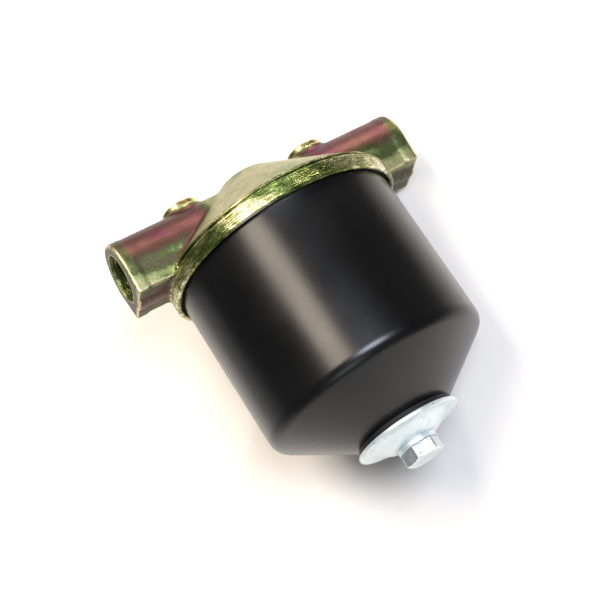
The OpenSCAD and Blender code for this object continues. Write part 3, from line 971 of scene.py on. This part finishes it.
# %% Perforated tubes
def perforated(name, node, body, material, around, rows, hole_mm):
    low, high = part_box(node)
    outer, thick = high.x, 0.8 * MM
    cell_w, cell_h = 2 * math.pi / around, (high.z - low.z) / rows
    corners = 24
    points, faces = [], []
    for row in range(rows):
        for col in range(around):
            mid_a = (col + 0.5 * (row % 2)) * cell_w
            mid_z = low.z + (row + 0.5) * cell_h
            base = len(points)
            for wall in (outer, outer - thick):
                for ring in range(2):
                    for k in range(corners):
                        t = 2 * math.pi * k / corners
                        c, s = math.cos(t), math.sin(t)
                        if ring == 0:
                            a, z = hole_mm * MM / outer * c, hole_mm * MM * s
                        else:
                            grow = 1 / max(abs(c), abs(s))
                            a, z = cell_w / 2 * c * grow, cell_h / 2 * s * grow
                        a += mid_a
                        points.append((wall * math.cos(a), wall * math.sin(a), mid_z + z))
            for k in range(corners):
                n = (k + 1) % corners
                hole_out, edge_out, hole_in, edge_in = (base + corners * q for q in range(4))
                faces.append((hole_out + k, edge_out + k, edge_out + n, hole_out + n))
                faces.append((hole_in + k, hole_in + n, edge_in + n, edge_in + k))
                faces.append((hole_out + k, hole_out + n, hole_in + n, hole_in + k))
                level = abs(math.sin(math.pi * (2 * k + 1) / corners)) > 0.70
                top = row == rows - 1 and k < corners / 2
                bottom = row == 0 and k >= corners / 2
                if level and (top or bottom):
                    faces.append((edge_out + k, edge_in + k, edge_in + n, edge_out + n))
    return finish_piece(new_object(name, points, faces, 40), body, node, material)


perforated("core_perforated", "core_tube", "element", SHEET, 12, 9, 2.6)
perforated("guard_perforated", "outer_screen", "element", SHEET, 28, 8, 2.9)


# %% Pleated paper
def pleated_paper():
    low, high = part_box("filter_media")
    outer = high.x - 0.2 * MM
    inner = 19.2 * MM
    folds, samples, thick = 48, 12, 0.45 * MM
    count = folds * samples
    points, faces = [], []
    levels = [low.z, low.z + (high.z - low.z) * 0.33, low.z + (high.z - low.z) * 0.66, high.z]
    for z in levels:
        for offset in (thick / 2, -thick / 2):
            for i in range(count):
                a = 2 * math.pi * i / count
                swing = math.sin(a * folds)
                swing = math.copysign(abs(swing) ** 0.75, swing)
                r = (outer + inner) / 2 + (outer - inner - thick) / 2 * swing + offset
                points.append((r * math.cos(a), r * math.sin(a), z))
    for k in range(len(levels) - 1):
        for i in range(count):
            j = (i + 1) % count
            a, b = 2 * k * count, 2 * (k + 1) * count
            faces.append((a + i, a + j, b + j, b + i))
            faces.append((a + count + i, b + count + i, b + count + j, a + count + j))
    for i in range(count):
        j = (i + 1) % count
        top = 2 * (len(levels) - 1) * count
        faces.append((i, count + i, count + j, j))
        faces.append((top + i, top + j, top + count + j, top + count + i))
    return new_object("pleated_paper", points, faces, 50)


finish_piece(pleated_paper(), "element", "filter_media", PAPER)


# %% [markdown]
# The spring is a swept wire whose end turns lie flat, so that it stands square in its cup. Its height is
# taken from the frame's spring, and it rides with the bowl.


# %% Spring
def spring_wire():
    low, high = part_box("spring")
    wire, coil, turns, per_turn, side = 1.0 * MM, 12 * MM, 4.5, 40, 14
    bottom, rise = low.z + wire, high.z - low.z - 2 * wire
    steps = int(turns * per_turn)
    points = []
    for i in range(steps + 1):
        u = i / steps
        eased = float(np.interp(u, [0, 0.18, 0.82, 1], [0, 0.10, 0.90, 1]))
        a = 2 * math.pi * turns * u
        for k in range(side):
            b = 2 * math.pi * k / side
            r = coil + wire * math.cos(b)
            points.append((r * math.cos(a), r * math.sin(a), bottom + rise * eased + wire * math.sin(b)))
    faces = grid_faces(steps, side)
    faces.append(tuple(range(side - 1, -1, -1)))
    faces.append(tuple(steps * side + k for k in range(side)))
    return new_object("spring_coil", points, faces, 60)


spring = finish_piece(spring_wire(), "bowl", "spring", WIRE)
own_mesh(spring)

# %% [markdown]
# ## Table, light and camera
# The filter lies on a white table on its rim and on the end of one port. In the part's own frame the
# table is therefore a tilted plane: it touches the rim, the end of the bar and the shoulder of the
# bowl. It fades out on both sides, and it is seen from its front only, so the filter can be looked at
# from behind as well.


# %% Table
FADE_RIGHT = (0.075, 0.20)           # metres from the axis, where each side starts and ends fading
FADE_LEFT = (-0.26, -0.50)


def table_paint(right):
    material, tree, shader, _ = new_material("white_table")
    shader.inputs["Base Color"].default_value = colour("#fdf8ef")
    shader.inputs["Roughness"].default_value = 0.6
    here = add(tree, "ShaderNodeNewGeometry")
    rightward = reach_along(tree, here.outputs["Position"], right)
    far_right = remap(tree, rightward, *FADE_RIGHT, 0.0, 1.0)
    far_left = remap(tree, rightward, *FADE_LEFT, 0.0, 1.0)
    faded = maths(tree, "MAXIMUM", far_right, far_left)
    hidden = maths(tree, "MAXIMUM", here.outputs["Backfacing"], faded)
    clear = add(tree, "ShaderNodeBsdfTransparent")
    mixed = add(tree, "ShaderNodeMixShader", {0: hidden, 1: shader.outputs[0], 2: clear.outputs[0]})
    tree.links.new(mixed.outputs[0], tree.nodes["Material Output"].inputs["Surface"])
    return material


lean = math.acos(RIM_R / math.hypot(PORT_X, COLLAR_R)) + math.atan2(COLLAR_R, PORT_X)
slope = (RIM_R - BOWL_R) / BOWL_WALL
to_table = Vector((math.cos(lean), math.sin(lean), 0))
table_up = (-to_table + Vector((0, 0, slope))).normalized()
touch = to_table * (RIM_R + 0.4 * MM) + Vector((0, 0, RIM_Z))
across = table_up.cross(Vector((0, 0, 1))).normalized()
along = across.cross(table_up)
right = -across if across.x < 0 else across
reach = {"left": 0.52, "right": 0.24, "up": 0.45, "down": 1.1}
corners = [(-reach["left"], -reach["down"]), (reach["right"], -reach["down"]),
           (reach["right"], reach["up"]), (-reach["left"], reach["up"])]
plane = bpy.data.meshes.new("table")
plane.from_pydata([touch + right * u + along * v for u, v in corners], [], [(0, 1, 2, 3)])
if plane.polygons[0].normal.dot(table_up) < 0:
    plane.flip_normals()
table = placed("table", plane)
table.data.materials.append(table_paint(right))
table.visible_shadow = False
print("table faces", [round(v, 3) for v in table_up])

# %% [markdown]
# Six soft boxes light the filter. A warm one stands in front on the inlet side, and a bluish one, like a
# window, stands straight in front. One high up lights the bar and its bosses, and a small one picks out
# the outlet end. Weak fills behind and below light the back and the clamp disc.


# %% Lights
def soft_box(name, direction, distance, size, power, tint, aim=Vector((0, 0, -0.07))):
    data = bpy.data.lights.new(name, "AREA")
    data.shape = "RECTANGLE"
    data.size, data.size_y = size
    data.energy = power
    data.color = colour(tint)[:3]
    lamp = placed(name, data)
    lamp.location = aim + Vector(direction).normalized() * distance
    lamp.rotation_mode = "QUATERNION"
    lamp.rotation_quaternion = Vector(direction).to_track_quat("Z", "Y")
    return lamp


soft_box("warm_softbox", (-0.56, -0.77, 0.31), 1.1, (0.40, 0.55), 6.8, "#fff0de")
soft_box("cool_window", (-0.10, -0.975, -0.17), 1.3, (0.55, 0.55), 17.0, "#dce4f7")
soft_box("top_light", (-0.45, -0.50, 0.74), 1.4, (0.60, 0.60), 8.0, "#fffaf2")
soft_box("right_light", (0.42, -0.60, 0.86), 1.4, (0.16, 0.16), 10.0, "#fff4e6")
soft_box("fill_behind", (0.6, 0.75, 0.3), 1.4, (1.2, 1.2), 2.5, "#ffffff")
soft_box("fill_below", (-0.40, -0.50, -0.76), 1.4, (0.6, 0.6), 1.9, "#eef6ff")


# %% [markdown]
# The room is darker overhead than near the table, which is what keeps the black enamel black and lets
# the metal show contrast. The camera itself sees plain white wherever there is nothing.


# %% Room
def pale_room():
    world = bpy.data.worlds.new("pale_room")
    world.use_nodes = True
    tree = world.node_tree
    towards = add(tree, "ShaderNodeTexCoord").outputs["Generated"]
    overhead = reach_along(tree, towards, table_up)
    strength = remap(tree, overhead, -0.05, 0.22, 0.60, 0.10, interpolation_type="SMOOTHSTEP")
    aside = add(tree, "ShaderNodeSeparateXYZ", {0: towards}).outputs[0]
    dim = remap(tree, aside, 0.15, 0.6, 1.0, 0.2)
    strength = maths(tree, "MULTIPLY", strength, dim)
    room = tree.nodes["Background"]
    room.inputs["Color"].default_value = colour("#f6f6f8")
    tree.links.new(strength, room.inputs["Strength"])
    backdrop = add(tree, "ShaderNodeBackground", {"Color": colour("#ffffff"), "Strength": 1.0})
    seen = add(tree, "ShaderNodeLightPath").outputs["Is Camera Ray"]
    mixed = add(tree, "ShaderNodeMixShader", {0: seen, 1: room.outputs[0], 2: backdrop.outputs[0]})
    tree.links.new(mixed.outputs[0], tree.nodes["World Output"].inputs["Surface"])
    return world


bpy.context.scene.view_settings.view_transform = "Standard"
bpy.context.scene.world = pale_room()

# %% [markdown]
# The camera looks up at the filter from below its bowl and to the inlet side, rolled so that the bolt
# end points to the lower right, with a lens long enough to keep the rim and the disc nearly parallel.


# %% Camera
AZIMUTH, ELEVATION, ROLL = -19.6, -18.3, -33.3
AIM = Vector((-9.8, -0.6, -63.3)) * MM
DISTANCE = 673 * MM


def main_camera():
    data = bpy.data.cameras.new("camera")
    data.lens = 90.3
    data.clip_start, data.clip_end = 0.05, 20
    camera = placed("camera", data)
    a, e = math.radians(AZIMUTH), math.radians(ELEVATION)
    back = Vector((math.sin(a) * math.cos(e), -math.cos(a) * math.cos(e), math.sin(e)))
    camera.location = AIM + back * DISTANCE
    look = (-back).to_track_quat("-Z", "Y")
    level = Vector((0, 0, 1)) - back * back.z
    camera.rotation_mode = "QUATERNION"
    up_now = look @ Vector((0, 1, 0))
    settle = up_now.rotation_difference(level.normalized())
    turned = Matrix.Rotation(math.radians(ROLL), 3, back).to_quaternion()
    camera.rotation_quaternion = turned @ settle @ look
    bpy.context.scene.camera = camera
    return camera


main_camera()
print("camera at", [round(v, 3) for v in bpy.context.scene.camera.location])
